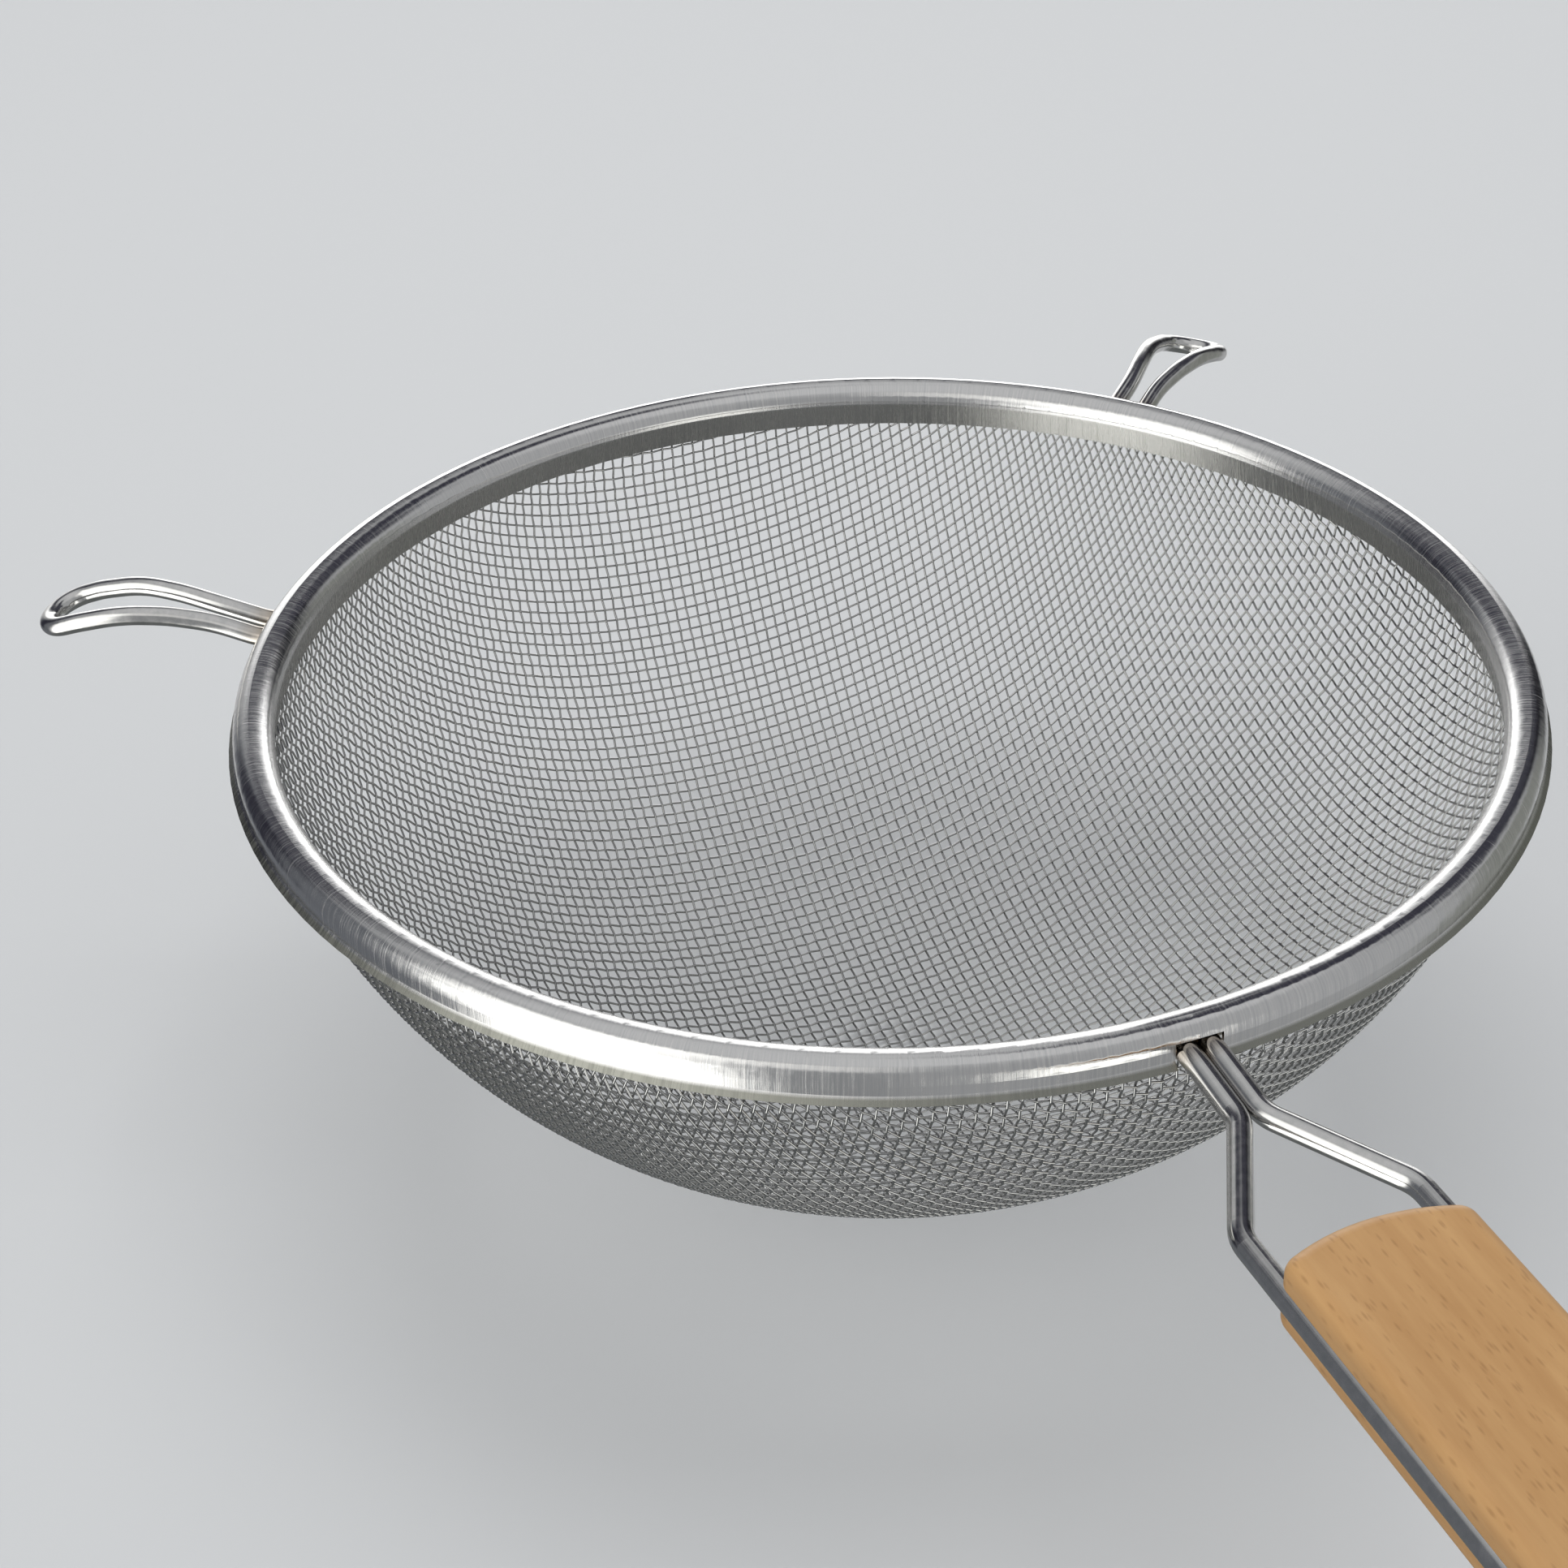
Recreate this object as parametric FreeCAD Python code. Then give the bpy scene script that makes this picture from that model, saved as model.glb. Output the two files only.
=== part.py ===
"""Hand-held wire-mesh flour sieve with two pot rests and a beech-gripped wire handle.

Millimetres. The origin is the lowest point of the bowl, on the bowl's axis. +Z points up out of
the bowl's mouth and +X runs along the handle. Heights of the rim, rests and handle are worked
out from the top of the rim's bead.
"""
import FreeCAD, Part
import math
import os

from FreeCAD import Vector

# --- Bowl of woven cloth ---------------------------------------------------------------------
CLOTH_WIRE = 0.34            # diameter of one wire of the cloth
CLOTH_THICKNESS = 2 * CLOTH_WIRE
DOME_DEPTH = 66.0            # from the start of the dome to its lowest point
DOME_START = 5.7             # depth below the bead's top where the dome starts
DOME_SHOULDER = 26.0         # radius of the outer meridian where the wall turns in
RIM_TOP = DOME_START + DOME_DEPTH

# --- Rim band: a steel strip folded to a channel with its mouth down ---------------------------
BAND_THICKNESS = 0.5
BEAD_INNER_RADIUS = 83.65    # inner face of the bead, where the skirt starts
BEAD_INNER_DROP = 2.9        # depth at which the bead turns down into the skirt
SKIRT_RADIUS = 84.25         # inner face of the skirt at its lower edge
SKIRT_DEPTH = 6.7            # how far the skirt hangs below the bead's top
BEAD_CREST_RADIUS = 86.9     # radius of the bead's highest line
BEAD_OUTER_RADIUS = 89.3     # outer face of the bead
BEAD_OUTER_DROP = 2.8        # depth at which the bead's outer face is upright
LIP_BEND_DROP = 4.2          # depth at which the outer face turns out into its lip
LIP_RADIUS = 90.1            # outermost radius of the rim
LIP_DROP = 5.1               # depth of the lip's outer edge

# --- Hoop inside the bead ---------------------------------------------------------------------
HOOP_WIRE = 2.4
HOOP_RADIUS = 86.8
HOOP_DROP = 3.0              # depth of the hoop's centre line
CLOTH_GAP = 0.05             # between the hoop and the cloth wrapped over it
CLOTH_WRAP_END = 75.0        # angle up from outwards at which the cloth's edge ends
WELD_RADIUS = HOOP_RADIUS + 0.6         # where the handle and rest wires start, against the hoop

# --- Handle wire -------------------------------------------------------------------------------
HANDLE_WIRE = 3.0
HANDLE_ROOT_SPACING = 3.04   # between the centre lines of the two shanks at the rim
HANDLE_SPACING = 22.0        # between them along the grip
HANDLE_ROOT_DROP = 3.6
HANDLE_DROP = 4.5            # depth of the handle's centre line below the bead's top
NECK_END = 101.3             # distance from the axis where the shanks part
SPREAD_END = 118.3           # where they run parallel again
LOOP_TIP = 258.5             # centre line of the hanging loop's far end
NECK_BEND = 6.0              # bend radii
SPREAD_BEND = 6.0

# --- Grip ----------------------------------------------------------------------------------------
GRIP_WIDTH = 23.2
GRIP_THICKNESS = 10.0
GRIP_FRONT = 124.4           # distance from the axis to the crown of the front end
GRIP_BACK = 240.0
GRIP_END_SAG = 2.6           # how far each end bows out
GRIP_CORNER = 2.5            # plan corner radius
GRIP_EDGE = 2.2              # radius along the long edges
GROOVE_CLEARANCE = 0.05

# --- Pot rests -----------------------------------------------------------------------------------
REST_WIRE = 2.8
REST_LENGTH = 32.0           # from the lip to the centre line of the tip
# Half spacing and depth of a leg's centre line, at distances out from the lip.
REST_LEG = ((6.5, 2.35, 1.6), (13.0, 3.3, 0.8), (19.5, 4.4, 0.8), (26.0, 4.8, 2.6))
REST_ROOT = (2.4, 3.1)       # half spacing and depth at the rim
REST_TIP_DROP = 4.9
REST_TIP_BEND = 4.3
BACK_REST_ANGLE = 130.4      # anticlockwise from the handle, seen from above
LEFT_REST_ANGLE = -123.0
BACK_REST_PITCH = -2.0       # tilt of each loop about its root, up is positive
LEFT_REST_PITCH = 2.0

# --- Notches that let the wires into the bead ----------------------------------------------------
NOTCH_CLEARANCE = 0.12


def revolve(edges):
    """Solid of revolution about Z of a closed outline in the XZ plane."""
    face = Part.Face(Part.Wire(edges))
    return face.revolve(Vector(0, 0, 0), Vector(0, 0, 1), 360)


def line(start, end):
    return Part.LineSegment(Vector(*start), Vector(*end)).toShape()


def quarter(centre, across, up, start, end):
    """Quarter of an ellipse in the XZ plane, between two angles in degrees."""
    cx, cz = centre
    if across >= up:
        curve = Part.Ellipse(Vector(cx + across, 0, cz), Vector(cx, 0, cz + up), Vector(cx, 0, cz))
        first, last = start, end
    else:
        curve = Part.Ellipse(Vector(cx, 0, cz + up), Vector(cx - across, 0, cz), Vector(cx, 0, cz))
        first, last = start - 90, end - 90
    return curve.toShape(math.radians(first), math.radians(last))


def at(radius, drop):
    """Point in the XZ plane at a radius and a depth below the bead's top."""
    return (radius, 0, RIM_TOP - drop)


def rounded_path(corners, radii):
    """Straight runs through the corners, joined by tangent arcs of the given radii."""
    points = [Vector(*corner) for corner in corners]
    edges = []
    here = points[0]
    for before, corner, after, radius in zip(points, points[1:], points[2:], radii):
        back = (before - corner).normalize()
        ahead = (after - corner).normalize()
        half_turn = (math.pi - back.getAngle(ahead)) / 2
        reach = radius * math.tan(half_turn)
        start = corner + back * reach
        end = corner + ahead * reach
        middle = (back + ahead).normalize()
        bulge = corner + middle * (radius / math.cos(half_turn) - radius)
        edges.append(Part.LineSegment(here, start).toShape())
        edges.append(Part.Arc(start, bulge, end).toShape())
        here = end
    edges.append(Part.LineSegment(here, points[-1]).toShape())
    return Part.Wire(edges)


def round_wire(path, diameter):
    """Round wire swept along a path."""
    start = path.Edges[0].Vertexes[0].Point
    direction = path.Edges[0].tangentAt(path.Edges[0].FirstParameter)
    section = Part.Wire([Part.Circle(start, direction, diameter / 2).toShape()])
    solid = path.makePipeShell([section], True, False)
    expected = math.pi * diameter ** 2 / 4 * path.Length
    print("wire %.1f mm long, volume ratio %.4f" % (path.Length, solid.Volume / expected))
    return solid


def turned(shape, angle):
    """The shape turned about the bowl's axis."""
    copy = shape.copy()
    copy.rotate(Vector(0, 0, 0), Vector(0, 0, 1), angle)
    return copy


def hoop():
    return Part.makeTorus(HOOP_RADIUS, HOOP_WIRE / 2, Vector(0, 0, RIM_TOP - HOOP_DROP))


def rim_band():
    """Channel section: a skirt that leans out, a rounded bead, and an outer leg with a lip."""
    t = BAND_THICKNESS
    inner_bend = (BEAD_CREST_RADIUS, RIM_TOP - BEAD_INNER_DROP)
    outer_bend = (BEAD_CREST_RADIUS, RIM_TOP - BEAD_OUTER_DROP)
    inner_across = BEAD_CREST_RADIUS - BEAD_INNER_RADIUS
    outer_across = BEAD_OUTER_RADIUS - BEAD_CREST_RADIUS
    splay = math.atan2(LIP_RADIUS - BEAD_OUTER_RADIUS, LIP_DROP - LIP_BEND_DROP)
    bend = at(BEAD_OUTER_RADIUS, LIP_BEND_DROP)
    edge = at(LIP_RADIUS, LIP_DROP)
    under_bend = at(BEAD_OUTER_RADIUS - t, LIP_BEND_DROP + t * math.tan(splay / 2))
    under_edge = at(LIP_RADIUS - t * math.cos(splay), LIP_DROP + t * math.sin(splay))
    edges = [
        line(at(SKIRT_RADIUS + t, SKIRT_DEPTH), at(SKIRT_RADIUS, SKIRT_DEPTH)),
        line(at(SKIRT_RADIUS, SKIRT_DEPTH), at(BEAD_INNER_RADIUS, BEAD_INNER_DROP)),
        quarter(inner_bend, inner_across, BEAD_INNER_DROP, 90, 180),
        quarter(outer_bend, outer_across, BEAD_OUTER_DROP, 0, 90),
        line(at(BEAD_OUTER_RADIUS, BEAD_OUTER_DROP), bend),
        line(bend, edge),
        line(edge, under_edge),
        line(under_edge, under_bend),
        line(under_bend, at(BEAD_OUTER_RADIUS - t, BEAD_OUTER_DROP)),
        quarter(outer_bend, outer_across - t, BEAD_OUTER_DROP - t, 0, 90),
        quarter(inner_bend, inner_across - t, BEAD_INNER_DROP - t, 90, 180),
        line(at(BEAD_INNER_RADIUS + t, BEAD_INNER_DROP), at(SKIRT_RADIUS + t, SKIRT_DEPTH)),
    ]
    band = revolve(Part.__sortEdges__(edges))
    return band.cut(notches())


def notches():
    """Slots in the outer leg, from its lip up to just over the wires that come in."""
    length = LIP_RADIUS - HOOP_RADIUS
    cutters = [notch(0, 0, HANDLE_ROOT_SPACING + HANDLE_WIRE, HANDLE_ROOT_DROP - HANDLE_WIRE / 2, length)]
    for angle in (BACK_REST_ANGLE, LEFT_REST_ANGLE):
        for side in (-1, 1):
            cutters.append(notch(angle, side * REST_ROOT[0], REST_WIRE, REST_ROOT[1] - REST_WIRE / 2, length))
    return Part.makeCompound(cutters)


def notch(angle, offset, width, top_drop, length):
    width = width + 2 * NOTCH_CLEARANCE
    top = RIM_TOP - top_drop + NOTCH_CLEARANCE
    bottom = RIM_TOP - SKIRT_DEPTH
    corner = Vector(HOOP_RADIUS + HOOP_WIRE / 2, offset - width / 2, bottom)
    return turned(Part.makeBox(length, width, top - bottom, corner), angle)


def mesh_bowl():
    """Closed shell as thick as the cloth: its edge over the hoop, a straight wall, and the dome."""
    wrap_inner = HOOP_WIRE / 2 + CLOTH_GAP
    wrap_outer = wrap_inner + CLOTH_THICKNESS
    wall_outer = HOOP_RADIUS - wrap_inner
    wall_inner = HOOP_RADIUS - wrap_outer
    hoop_centre = Vector(HOOP_RADIUS, 0, RIM_TOP - HOOP_DROP)

    def over_hoop(radius):
        def spot(degrees):
            turn = math.radians(degrees)
            return hoop_centre + Vector(radius * math.cos(turn), 0, radius * math.sin(turn))
        return Part.Arc(spot(180), spot((180 + CLOTH_WRAP_END) / 2), spot(CLOTH_WRAP_END)).toShape()

    # The outer meridian is a shoulder arc, upright at the top, that runs into the bottom arc.
    centre_out = wall_outer - DOME_SHOULDER
    bottom_radius = (centre_out ** 2 + DOME_DEPTH ** 2 - DOME_SHOULDER ** 2) / (2 * (DOME_DEPTH - DOME_SHOULDER))
    join = math.atan2(bottom_radius - DOME_DEPTH, centre_out)

    def meridian(inset):
        shoulder = Vector(centre_out, 0, DOME_DEPTH)
        bottom = Vector(0, 0, bottom_radius)

        def on(centre, radius, turn):
            return centre + Vector(radius * math.cos(turn), 0, -radius * math.sin(turn))
        small = DOME_SHOULDER - inset
        large = bottom_radius - inset
        side = Part.Arc(on(shoulder, small, 0), on(shoulder, small, join / 2), on(shoulder, small, join))
        base = Part.Arc(on(bottom, large, join), on(bottom, large, (join + math.pi / 2) / 2),
                        on(bottom, large, math.pi / 2))
        return [side.toShape(), base.toShape()]

    outer_arcs = meridian(0)
    inner_arcs = meridian(CLOTH_THICKNESS)
    outer_wrap = over_hoop(wrap_inner)
    inner_wrap = over_hoop(wrap_outer)
    edges = outer_arcs + inner_arcs + [outer_wrap, inner_wrap]
    edges.append(line(at(wall_outer, HOOP_DROP), at(wall_outer, DOME_START)))
    edges.append(line(at(wall_inner, HOOP_DROP), at(wall_inner, DOME_START)))
    edges.append(Part.LineSegment(outer_wrap.Vertexes[-1].Point, inner_wrap.Vertexes[-1].Point).toShape())
    edges.append(line((0, 0, 0), (0, 0, CLOTH_THICKNESS)))
    print("bottom arc radius %.2f mm" % bottom_radius)
    return revolve(Part.__sortEdges__(edges))


def rest(angle, pitch):
    """One wire bent to a narrow U: two legs out of the rim, arched, and a dipping tip."""
    legs = [(WELD_RADIUS, REST_ROOT[0], RIM_TOP - REST_ROOT[1]),
            (LIP_RADIUS, REST_ROOT[0], RIM_TOP - REST_ROOT[1])]
    for out, half, drop in REST_LEG:
        legs.append((LIP_RADIUS + out, half, RIM_TOP - drop))
    legs.append((LIP_RADIUS + REST_LENGTH, REST_LEG[-1][1] - 0.3, RIM_TOP - REST_TIP_DROP))
    mirrored = [(x, -y, z) for x, y, z in reversed(legs)]
    leg_bends = [10.0, 30.0, 30.0, 22.0, 16.0]
    radii = leg_bends + [REST_TIP_BEND, REST_TIP_BEND] + leg_bends[::-1]
    wire = round_wire(rounded_path(legs + mirrored, radii), REST_WIRE)
    wire.rotate(Vector(LIP_RADIUS, 0, RIM_TOP - REST_ROOT[1]), Vector(0, -1, 0), pitch)
    return turned(wire.cut(hoop()), angle)


def handle_wire():
    """One wire: two shanks side by side, parted to the grip's sides, and joined by the loop."""
    root = RIM_TOP - HANDLE_ROOT_DROP
    level = RIM_TOP - HANDLE_DROP
    half_root = HANDLE_ROOT_SPACING / 2
    half = HANDLE_SPACING / 2
    shank = [(WELD_RADIUS, half_root, root), (LIP_RADIUS + 1, half_root, root),
             (NECK_END, half_root, level), (SPREAD_END, half, level), (LOOP_TIP, half, level)]
    mirrored = [(x, -y, z) for x, y, z in reversed(shank)]
    bends = [20.0, NECK_BEND, SPREAD_BEND]
    loop_bend = half - 0.1
    radii = bends + [loop_bend, loop_bend] + bends[::-1]
    wire = round_wire(rounded_path(shank + mirrored, radii), HANDLE_WIRE)
    return wire.cut(hoop())


def grip():
    """Flat beech block with bowed ends, rounded edges and a groove for the wire in each side."""
    half = GRIP_WIDTH / 2
    middle = RIM_TOP - HANDLE_DROP
    floor = middle - GRIP_THICKNESS / 2
    front = GRIP_FRONT + GRIP_END_SAG
    back = GRIP_BACK - GRIP_END_SAG
    corners = [Vector(front, -half, floor), Vector(back, -half, floor),
               Vector(back, half, floor), Vector(front, half, floor)]
    outline = Part.Wire([
        Part.LineSegment(corners[0], corners[1]).toShape(),
        Part.Arc(corners[1], Vector(GRIP_BACK, 0, floor), corners[2]).toShape(),
        Part.LineSegment(corners[2], corners[3]).toShape(),
        Part.Arc(corners[3], Vector(GRIP_FRONT, 0, floor), corners[0]).toShape(),
    ])
    block = Part.Face(outline).extrude(Vector(0, 0, GRIP_THICKNESS))
    upright = [edge for edge in block.Edges if abs(edge.Vertexes[0].Z - edge.Vertexes[-1].Z) > 1]
    block = block.makeFillet(GRIP_CORNER, upright)
    flat = [edge for edge in block.Edges if abs(edge.BoundBox.ZLength) < 1e-6]
    block = block.makeFillet(GRIP_EDGE, flat)
    for side in (-1, 1):
        groove = Part.makeCylinder(HANDLE_WIRE / 2 + GROOVE_CLEARANCE, GRIP_BACK - GRIP_FRONT + 2,
                                   Vector(GRIP_FRONT - 1, side * HANDLE_SPACING / 2, middle),
                                   Vector(1, 0, 0))
        block = block.cut(groove)
    return block


def main():
    os.makedirs("parts", exist_ok=True)
    shapes = {
        "rim_band": rim_band(),
        "rim_hoop": hoop(),
        "mesh_bowl": mesh_bowl(),
        "back_rest": rest(BACK_REST_ANGLE, BACK_REST_PITCH),
        "left_rest": rest(LEFT_REST_ANGLE, LEFT_REST_PITCH),
        "handle_wire": handle_wire(),
        "grip": grip(),
    }
    for name, shape in shapes.items():
        solids = shape.Solids
        print("%-12s solids %d valid %s volume %.1f mm3" % (name, len(solids), shape.isValid(), shape.Volume))
        solids[0].exportStep("parts/%s.step" % name)


main()
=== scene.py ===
import math

import bpy
import numpy as np
from mathutils import Matrix, Vector


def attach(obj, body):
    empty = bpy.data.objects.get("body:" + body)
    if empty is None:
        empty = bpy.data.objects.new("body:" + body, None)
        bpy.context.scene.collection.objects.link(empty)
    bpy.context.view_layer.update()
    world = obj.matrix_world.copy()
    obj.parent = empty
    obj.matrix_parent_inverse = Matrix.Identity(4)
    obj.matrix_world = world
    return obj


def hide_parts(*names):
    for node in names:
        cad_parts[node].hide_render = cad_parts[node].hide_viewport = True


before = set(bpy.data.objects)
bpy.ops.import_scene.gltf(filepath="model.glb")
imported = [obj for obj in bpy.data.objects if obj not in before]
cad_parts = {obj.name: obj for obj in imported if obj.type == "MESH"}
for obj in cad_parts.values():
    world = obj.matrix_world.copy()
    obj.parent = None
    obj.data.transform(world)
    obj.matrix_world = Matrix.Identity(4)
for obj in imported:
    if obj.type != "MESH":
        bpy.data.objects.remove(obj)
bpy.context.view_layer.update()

BODY = "root"
MM = 0.001

# --- Sizes shared with the CAD part, in millimetres ---------------------------------------------
RIM_TOP = 71.7                 # height of the bead's top above the bowl's lowest point
CLOTH_WIRE = 0.34              # diameter of a wire of the cloth
CLOTH_PITCH = 1.74             # spacing of the wires before the cloth is pressed
DOME_RADIUS = 89.99            # bottom of the bowl, at the middle of the cloth
DOME_CENTRE_Z = 90.33
SHOULDER_RADIUS = 25.66
SHOULDER_CENTRE = (59.55, 66.0)
WALL_RADIUS = 85.21
HOOP_RADIUS = 86.8
HOOP_Z = RIM_TOP - 3.0
WRAP_RADIUS = 1.59             # the cloth's middle round the hoop's centre line
WRAP_TURN = 1.8                # radians that the cloth goes round the hoop


# --- Meshes ----------------------------------------------------------------------------------
def add_mesh(name, points, faces, material):
    """A smooth piece of the object from points in millimetres."""
    mesh = bpy.data.meshes.new(name)
    mesh.from_pydata((points * MM).tolist(), [], faces)
    mesh.materials.append(material)
    mesh.polygons.foreach_set("use_smooth", [True] * len(mesh.polygons))
    mesh.update()
    piece = bpy.data.objects.new(name, mesh)
    bpy.context.scene.collection.objects.link(piece)
    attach(piece, BODY)
    return piece


# --- Woven cloth, pressed to the bowl ------------------------------------------------------------
CRIMP = CLOTH_WIRE / 2         # how far a wire swings either side of the cloth's middle
BENDS = (-0.08, 0.0, 0.08)     # a wire bends at each crossing and is straight between, in pitches
STRAIGHT_CRIMP = 1.06          # where the straight parts would meet over a crossing, in CRIMPs
SIDES = 6                      # corners of a wire's section
ROW_REACH = 80                 # rows looked at either side of the middle
WIRES_PER_PIECE = 24
NEARBY = 0.01                  # step, in pitches, for finding the cloth's slope
DRAW_REACH = 100.0             # distance from the axis, along the cloth, for the values below
SHEAR = 0.267                  # how far the wires swing round on the bias as the cloth is drawn
BIAS_DRAW = 0.082              # extra length of the cloth on the bias
SKEW = -0.094                  # the weft isn't square to the warp by this much
BOW = 0.089                    # and it is bowed by this much
TURN = math.radians(-3.7)      # the cloth lies this far round from the handle's line


def meridian(along):
    """Radius and height of the cloth's middle at a distance along it from the bottom, and its edge."""
    turn_in = math.atan2(SHOULDER_CENTRE[0], DOME_CENTRE_Z - SHOULDER_CENTRE[1])
    shoulder = DOME_RADIUS * turn_in
    wall = shoulder + SHOULDER_RADIUS * (math.pi / 2 - turn_in)
    wrap = wall + HOOP_Z - SHOULDER_CENTRE[1]
    low = along / DOME_RADIUS
    mid = turn_in + (along - shoulder) / SHOULDER_RADIUS
    top = (along - wrap) / WRAP_RADIUS
    zones = [along <= shoulder, along <= wall, along <= wrap]
    radius = np.select(
        zones,
        [
            DOME_RADIUS * np.sin(low),
            SHOULDER_CENTRE[0] + SHOULDER_RADIUS * np.sin(mid),
            np.full_like(along, WALL_RADIUS),
        ],
        HOOP_RADIUS - WRAP_RADIUS * np.cos(top),
    )
    height = np.select(
        zones,
        [
            DOME_CENTRE_Z - DOME_RADIUS * np.cos(low),
            SHOULDER_CENTRE[1] - SHOULDER_RADIUS * np.cos(mid),
            SHOULDER_CENTRE[1] + along - wall,
        ],
        HOOP_Z + WRAP_RADIUS * np.sin(top),
    )
    return radius, height, wrap + WRAP_RADIUS * WRAP_TURN


def draped(u, v):
    """Where points of the flat cloth go on the bowl, and which of them lie within its edge."""
    u = u + SKEW * v + BOW * v * v / DRAW_REACH
    angle = np.arctan2(v, u)
    reach = np.hypot(u, v)
    draw = (reach / DRAW_REACH) ** 2
    along = reach * (1 + BIAS_DRAW * draw * (1 - np.cos(4 * angle)) / 2)
    angle = angle + TURN + SHEAR * draw * np.sin(4 * angle) / 4
    radius, height, edge = meridian(along)
    points = np.stack([radius * np.cos(angle), radius * np.sin(angle), height], -1)
    return points, along <= edge


def unit(vectors):
    return vectors / np.linalg.norm(vectors, axis=-1, keepdims=True)


def cloth_wire(row, across):
    """Points and faces of one wire of the weave; across tells the weft from the warp."""
    count = int(1.5 * DRAW_REACH / CLOTH_PITCH)  # well past the cloth's edge
    crossing = np.repeat(np.arange(-count, count + 1), len(BENDS))
    run = crossing + np.tile(BENDS, 2 * count + 1)
    side = np.full_like(run, row)

    def place(shift_run, shift_side):
        u, v = (run + shift_run) * CLOTH_PITCH, (side + shift_side) * CLOTH_PITCH
        return draped(v, u) if across else draped(u, v)

    middle, inside = place(0, 0)
    if not inside.any():
        return None
    ahead = unit(place(NEARBY, 0)[0] - middle)
    aside = place(0, NEARBY)[0] - middle
    out = unit(np.cross(aside, ahead) if across else np.cross(ahead, aside))
    sign = (-1) ** row * (-1 if across else 1)
    straight = STRAIGHT_CRIMP * (1 - 2 * np.abs(run - crossing))
    swing = np.minimum(1, straight) * np.cos(math.pi * crossing)
    middle = middle + out * (CRIMP * sign * swing)[:, None]
    middle, out = middle[inside], out[inside]
    ahead = unit(np.gradient(middle, axis=0))
    out = unit(out - ahead * np.sum(out * ahead, axis=-1, keepdims=True))
    aside = np.cross(ahead, out)
    turn = np.arange(SIDES) * 2 * math.pi / SIDES
    ring = out[:, None] * np.cos(turn)[:, None] + aside[:, None] * np.sin(turn)[:, None]
    points = (middle[:, None] + ring * CLOTH_WIRE / 2).reshape(-1, 3)
    start = np.arange(len(middle) - 1)[:, None] * SIDES
    here = np.arange(SIDES)
    there = (here + 1) % SIDES
    quads = np.stack(
        [start + here, start + there, start + SIDES + there, start + SIDES + here], -1
    ).reshape(-1, 4)
    last = len(points) - SIDES
    ends = [list(range(SIDES))[::-1], list(range(last, last + SIDES))]
    return points, quads, ends


def weave(name, across, material):
    """All the wires that run one way, in pieces of up to WIRES_PER_PIECE wires."""
    rows = range(-ROW_REACH, ROW_REACH + 1)
    wires = [w for w in (cloth_wire(row, across) for row in rows) if w]
    for first in range(0, len(wires), WIRES_PER_PIECE):
        points, faces, offset = [], [], 0
        for wire_points, quads, ends in wires[first : first + WIRES_PER_PIECE]:
            points.append(wire_points)
            faces += (quads + offset).tolist()
            faces += [[corner + offset for corner in end] for end in ends]
            offset += len(wire_points)
        number = first // WIRES_PER_PIECE + 1
        piece = add_mesh(f"{name}_{number}", np.concatenate(points), faces, material)
        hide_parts("mesh_bowl")


# --- Materials -------------------------------------------------------------------------------
CLOTH_STEEL = (0.42, 0.42, 0.415, 1)
BAND_DARK = (0.55, 0.55, 0.55, 1)
BAND_BRIGHT = (0.66, 0.65, 0.64, 1)
# painted dark olive reflection, put into the colour of the rim's skirt and lip
BAND_PAINTED_DARK_REFLECTION = (0.27, 0.27, 0.24, 1)
WIRE_DARK = (0.52, 0.52, 0.51, 1)
WIRE_BRIGHT = (0.60, 0.59, 0.58, 1)
# painted brown reflection for the wires where they meet the rim
PAINTED_BROWN_REFLECTION = (0.34, 0.22, 0.10, 1)
BEECH_DARK = (0.45, 0.245, 0.095, 1)
BEECH_LIGHT = (0.54, 0.315, 0.133, 1)
BEECH_FLECK = (0.25, 0.12, 0.042, 1)
FLOOR_GREY = (0.64, 0.65, 0.66, 1)


def new_material(name):
    material = bpy.data.materials.new(name)
    material.use_nodes = True
    tree = material.node_tree
    return material, tree, tree.nodes["Principled BSDF"]


def node(tree, kind, inputs=(), **settings):
    """A node with its settings, and values or links for its inputs, by name or number."""
    made = tree.nodes.new(kind)
    for key, value in settings.items():
        setattr(made, key, value)
    for key, value in dict(inputs).items():
        if isinstance(value, bpy.types.NodeSocket):
            tree.links.new(value, made.inputs[key])
        else:
            made.inputs[key].default_value = value
    return made


def maths(tree, operation, first, second=0.0):
    return node(tree, "ShaderNodeMath", {0: first, 1: second}, operation=operation).outputs[0]


def noise(tree, place, scale, detail, roughness):
    settings = {"Vector": place, "Scale": scale, "Detail": detail, "Roughness": roughness}
    return node(tree, "ShaderNodeTexNoise", settings).outputs[0]


def stretched(tree, place, scale):
    return node(tree, "ShaderNodeMapping", {"Vector": place, "Scale": scale}).outputs[0]


def spread(tree, value, low, high, to_low, to_high):
    """value, from low to high, mapped to another range and kept inside it."""
    return node(
        tree,
        "ShaderNodeMapRange",
        {"Value": value, "From Min": low, "From Max": high, "To Min": to_low, "To Max": to_high},
    ).outputs["Result"]


def blend_colour(tree, factor, first, second):
    """first where factor is 0 and second where it is 1; each colour is a link or a value."""
    made = node(tree, "ShaderNodeMix", data_type="RGBA")
    for socket, value in ((made.inputs[0], factor), (made.inputs[6], first), (made.inputs[7], second)):
        if isinstance(value, bpy.types.NodeSocket):
            tree.links.new(value, socket)
        else:
            socket.default_value = value
    return made.outputs[2]


def cloth_material():
    """Drawn wire, darker than the rim, in plain values. Plain values, so that the export has
    nothing to bake for it.
    """
    material, _, shader = new_material("cloth_steel_wire")
    shader.inputs["Base Color"].default_value = CLOTH_STEEL
    shader.inputs["Metallic"].default_value = 1.0
    shader.inputs["Roughness"].default_value = 0.10
    return material


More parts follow.
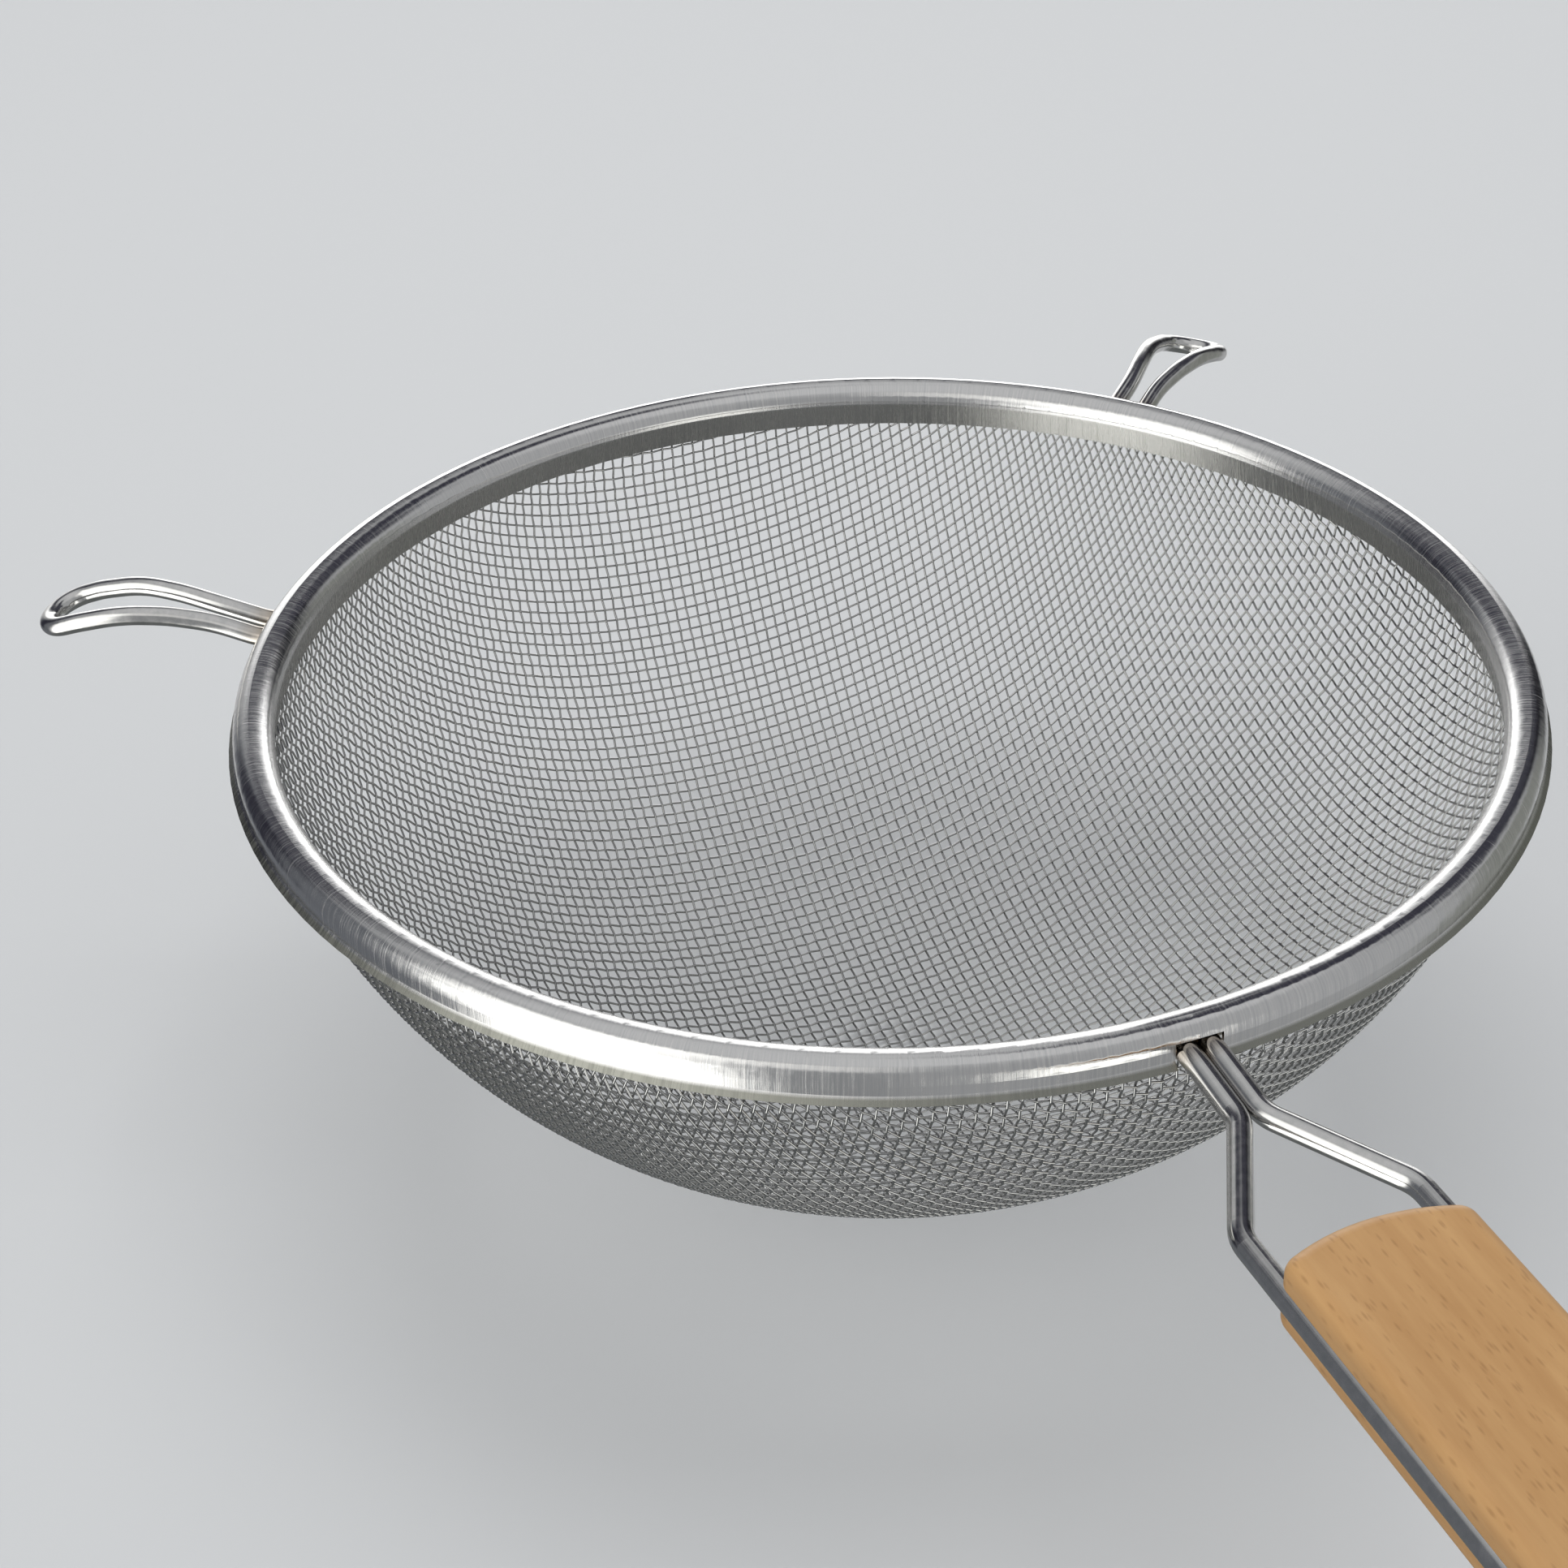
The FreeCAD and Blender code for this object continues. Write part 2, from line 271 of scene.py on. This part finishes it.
def round_axis(tree, place):
    """Angle round the bowl's axis, distance from it, and height."""
    parts = node(tree, "ShaderNodeSeparateXYZ", {0: place}).outputs
    squares = [maths(tree, "MULTIPLY", part, part) for part in (parts[0], parts[1])]
    radius = maths(tree, "SQRT", maths(tree, "ADD", *squares))
    return maths(tree, "ARCTAN2", parts[1], parts[0]), radius, parts[2]


LIP_START = 89.3 * MM          # distance from the axis where the strip turns out into the lip
SKIRT_OUT = 85.5 * MM          # the skirt lies inside this distance, and under this height
SKIRT_TOP = (RIM_TOP - 2.9) * MM
FADE = 0.3 * MM                # distance over which the lip's and the skirt's painted dark reflection and extra roughness set in
SCRATCH_DEPTH = 0.015 * MM
SCRATCH_WIDTH = 260.0          # noise scale round the rim, with the angle in radians
BAND_PATCHES = 26.0            # noise scale of the broad changes in gloss


def band_material():
    """Bright strip with fine scratches that run across the bead; rougher on its skirt and its lip, where
    a dark olive reflection is painted into the colour.
    """
    material, tree, shader = new_material("band_brushed_steel")
    place = node(tree, "ShaderNodeTexCoord").outputs["Object"]
    angle, radius, height = round_axis(tree, place)
    across = maths(tree, "MULTIPLY", maths(tree, "SUBTRACT", radius, height), 0.25)
    scratch = node(tree, "ShaderNodeCombineXYZ", {0: angle, 1: across}).outputs[0]
    fine = noise(tree, scratch, SCRATCH_WIDTH, 4.0, 0.75)
    broad = noise(tree, scratch, BAND_PATCHES, 3.0, 0.6)
    bright = spread(tree, fine, 0.35, 0.65, 0, 1)
    colour = blend_colour(tree, bright, BAND_DARK, BAND_BRIGHT)
    inside = spread(tree, radius, SKIRT_OUT, SKIRT_OUT + MM, 1, 0)
    skirt = maths(tree, "MULTIPLY", inside, spread(tree, height, SKIRT_TOP - FADE, SKIRT_TOP, 1, 0))
    lip = spread(tree, radius, LIP_START, LIP_START + FADE, 0, 1)
    # the skirt and the lip get a painted dark olive reflection in their colour, and more roughness
    painted_dark_and_dull = maths(tree, "MAXIMUM", maths(tree, "MULTIPLY", skirt, 0.5), lip)
    colour = blend_colour(tree, painted_dark_and_dull, colour, BAND_PAINTED_DARK_REFLECTION)
    streak = spread(tree, fine, 0.46, 0.66, 0, 0.17)
    rough = maths(tree, "ADD", spread(tree, broad, 0.3, 0.7, 0.08, 0.13), streak)
    rough = maths(tree, "ADD", rough, maths(tree, "MULTIPLY", painted_dark_and_dull, 0.15))
    scratches = {"Strength": 1.0, "Distance": SCRATCH_DEPTH, "Height": fine}
    bump = node(tree, "ShaderNodeBump", scratches)
    round_rim = node(tree, "ShaderNodeTangent", direction_type="RADIAL", axis="Z")
    tree.links.new(colour, shader.inputs["Base Color"])
    tree.links.new(rough, shader.inputs["Roughness"])
    tree.links.new(bump.outputs[0], shader.inputs["Normal"])
    tree.links.new(round_rim.outputs[0], shader.inputs["Tangent"])
    shader.inputs["Metallic"].default_value = 1.0
    shader.inputs["Anisotropic"].default_value = 0.7
    return material


BROWN_REFLECTION_RADII = (89.2 * MM, 92.8 * MM)  # distances from the axis between which the painted brown reflection fades


def wire_material():
    """Polished drawn wire with faint marks, with a little painted brown reflection near the welds under
    the rim.
    """
    material, tree, shader = new_material("wire_polished_steel")
    place = node(tree, "ShaderNodeTexCoord").outputs["Object"]
    marks = noise(tree, place, 700.0, 4.0, 0.6)
    rough = spread(tree, marks, 0.3, 0.7, 0.12, 0.22)
    bright = spread(tree, marks, 0.35, 0.65, 0, 1)
    colour = blend_colour(tree, bright, WIRE_DARK, WIRE_BRIGHT)
    radius = round_axis(tree, place)[1]
    # painted brown reflection: the wire's colour is browned most near the rim, fading outwards
    tint = spread(tree, radius, BROWN_REFLECTION_RADII[0], BROWN_REFLECTION_RADII[1], 0.45, 0)
    colour = blend_colour(tree, tint, colour, PAINTED_BROWN_REFLECTION)
    tree.links.new(colour, shader.inputs["Base Color"])
    tree.links.new(rough, shader.inputs["Roughness"])
    shader.inputs["Metallic"].default_value = 1.0
    return material


def beech_material():
    """Plain beech: pale red-brown with short darker flecks along the grain."""
    material, tree, shader = new_material("beech_sanded")
    place = node(tree, "ShaderNodeTexCoord").outputs["Object"]
    grain = noise(tree, stretched(tree, place, (0.12, 1.0, 1.0)), 420.0, 4.0, 0.6)
    cells = {"Vector": stretched(tree, place, (0.35, 1.6, 1.0)), "Scale": 900.0}
    near = node(tree, "ShaderNodeTexVoronoi", cells).outputs["Distance"]
    fleck = maths(tree, "MULTIPLY", spread(tree, near, 0.1, 0.3, 1, 0), 0.4)
    light = spread(tree, grain, 0.3, 0.7, 0, 1)
    colour = blend_colour(tree, light, BEECH_DARK, BEECH_LIGHT)
    colour = blend_colour(tree, fleck, colour, BEECH_FLECK)
    tree.links.new(colour, shader.inputs["Base Color"])
    shader.inputs["Roughness"].default_value = 0.45
    return material


steel_cloth = cloth_material()
FINISHES = (
    (band_material(), ("rim_band",)),
    (wire_material(), ("rim_hoop", "back_rest", "left_rest", "handle_wire")),
    (beech_material(), ("grip",)),
)
for finish, names in FINISHES:
    for name in names:
        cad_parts[name].material_slots[0].material = finish

weave("warp_wires", False, steel_cloth)
weave("weft_wires", True, steel_cloth)


# --- Stage, light and camera -----------------------------------------------------------------
HEADING = math.radians(68.57)  # the photograph's view looks this far round from the object's +Y
FLOOR_REACH = 60.0
FLOOR_DROP = 0.2 * MM          # keeps the floor just clear of the bowl
LIGHT_LIFT = math.radians(80)  # the floor's light: how high it stands
LIGHT_DISTANCE = 1.6
LIGHT_WIDTH = 1.2
LIGHT_WATTS = 11
EYE = (0.3227, -0.1421, 0.2853)
LENS = 68.7
DOWN = math.radians(33.6)      # the camera looks this far down
ROLL = math.radians(-1.61)


def add_floor():
    mesh = bpy.data.meshes.new("floor")
    corners = [(-FLOOR_REACH, -FLOOR_REACH, 0), (FLOOR_REACH, -FLOOR_REACH, 0),
               (FLOOR_REACH, FLOOR_REACH, 0), (-FLOOR_REACH, FLOOR_REACH, 0)]
    mesh.from_pydata(corners, [], [(0, 1, 2, 3)])
    material, _, shader = new_material("pale_floor")
    shader.inputs["Base Color"].default_value = FLOOR_GREY
    shader.inputs["Roughness"].default_value = 0.7
    mesh.materials.append(material)
    floor = bpy.data.objects.new("floor", mesh)
    floor.location.z = -FLOOR_DROP
    floor.visible_glossy = False
    bpy.context.scene.collection.objects.link(floor)


def add_floor_light():
    """A soft light over the far side of the object that faces it and that the steel doesn't mirror."""
    aim = Vector((0, 0, 0.05))
    turn = HEADING + math.pi / 2
    level = math.cos(LIGHT_LIFT)
    way = Vector((math.cos(turn) * level, math.sin(turn) * level, math.sin(LIGHT_LIFT)))
    lamp = bpy.data.lights.new("floor_light", "AREA")
    lamp.shape = "RECTANGLE"
    lamp.size = lamp.size_y = LIGHT_WIDTH
    lamp.energy = LIGHT_WATTS
    light = bpy.data.objects.new("floor_light", lamp)
    light.location = aim + way * LIGHT_DISTANCE
    light.rotation_euler = way.to_track_quat("Z", "Y").to_euler()
    light.visible_glossy = False
    bpy.context.scene.collection.objects.link(light)


BACKDROP = (0.67, 0.67, 0.68, 1)
ROOM = (0.52, 0.53, 0.54, 1)
# What the steel mirrors, each over the one before: bearing from and to, lift from and to, softness
# of the edges, all in degrees, and colour. Bearing 0 is away from the camera and 90 to its right.
PANELS = (
    (-200, 200, 55, 100, 8, (0.74, 0.75, 0.76)),      # overhead light
    (-200, 200, -100, -40, 6, (0.17, 0.18, 0.18)),    # what lies under the object
    (150, 200, -45, 40, 8, (0.44, 0.45, 0.46)),       # the side behind the camera
    (-200, -158, -45, 30, 8, (0.36, 0.37, 0.38)),
    (-176, -144, 28, 54, 6, (0.95, 0.95, 0.94)),
    (-150, -106, -48, 12, 8, (3.2, 3.2, 3.1)),        # large softbox at the front left
    (-150, -98, 12, 48, 8, (2.0, 2.0, 1.95)),
    (136, 160, -32, 4, 5, (2.2, 2.2, 2.1)),           # small one at the front right
    (-96, -36, -50, 36, 8, (0.18, 0.19, 0.21)),       # dark gap left of the backdrop
    (-67, -44, -22, 28, 6, (0.035, 0.035, 0.05)),
    (48, 80, -40, 18, 5, (0.30, 0.31, 0.29)),         # and right of it
    (30, 48, -14, 36, 5, (0.02, 0.02, 0.025)),
    (20, 34, 14, 30, 4, (0.03, 0.03, 0.04)),
    (-34, 26, -30, 14, 6, (0.68, 0.68, 0.68)),        # white backdrop, brightest in the middle
    (-24, 24, -9, 19, 6, (2.6, 2.6, 2.6)),
    (-62, 72, 27, 42, 4, (0.06, 0.06, 0.08)),         # dark belt above it
    (-50, -2, 40, 48, 5, (0.06, 0.06, 0.08)),
    (22, 58, 38, 74, 6, (0.05, 0.05, 0.07)),
)


def add_world():
    """A dim studio with soft panels: what the steel mirrors. The camera sees a plain pale backdrop."""
    world = bpy.data.worlds.new("studio")
    bpy.context.scene.world = world
    world.use_nodes = True
    tree = world.node_tree
    ground = tree.nodes["Background"]
    way = node(tree, "ShaderNodeTexCoord").outputs["Generated"]
    way = node(tree, "ShaderNodeMapping", {"Vector": way, "Rotation": (0, 0, -HEADING)}).outputs[0]
    parts = node(tree, "ShaderNodeSeparateXYZ", {0: way}).outputs
    bearing = maths(tree, "ARCTAN2", parts[0], parts[1])
    lift = maths(tree, "ARCSINE", parts[2])

    def edge(value, start, end):
        """A smooth step from 0 at start to 1 at end."""
        limits = {"Value": value, "From Min": start, "From Max": end}
        return node(tree, "ShaderNodeMapRange", limits, interpolation_type="SMOOTHSTEP").outputs["Result"]

    def window(value, low, high, soft):
        """1 between two angles in degrees, falling to 0 over soft degrees either side of each."""
        low, high, soft = (math.radians(angle) for angle in (low, high, soft))
        rise = edge(value, low - soft, low + soft)
        return maths(tree, "MULTIPLY", rise, edge(value, high + soft, high - soft))

    colour = ROOM
    for left, right, low, high, soft, tint in PANELS:
        sideways = window(bearing, left, right, soft)
        inside = maths(tree, "MULTIPLY", sideways, window(lift, low, high, soft))
        colour = blend_colour(tree, inside, colour, (*tint, 1))
    seen = node(tree, "ShaderNodeLightPath").outputs["Is Camera Ray"]
    colour = blend_colour(tree, seen, colour, BACKDROP)
    tree.links.new(colour, ground.inputs["Color"])


def add_camera():
    """The photograph's view: from over the handle's end, 34 degrees down."""
    camera = bpy.data.cameras.new("camera")
    camera.sensor_width = 36.0
    camera.lens = LENS
    camera.clip_start, camera.clip_end = 0.01, 100
    eye = bpy.data.objects.new("camera", camera)
    place = Matrix.Translation(EYE)
    turn = Matrix.Rotation(HEADING, 4, "Z")
    tilt = Matrix.Rotation(math.radians(90) - DOWN, 4, "X")
    roll = Matrix.Rotation(ROLL, 4, "Z")
    eye.matrix_world = place @ turn @ tilt @ roll
    bpy.context.scene.collection.objects.link(eye)
    bpy.context.scene.camera = eye


add_floor()
add_world()
add_floor_light()
add_camera()
bpy.context.scene.view_settings.view_transform = "Standard"
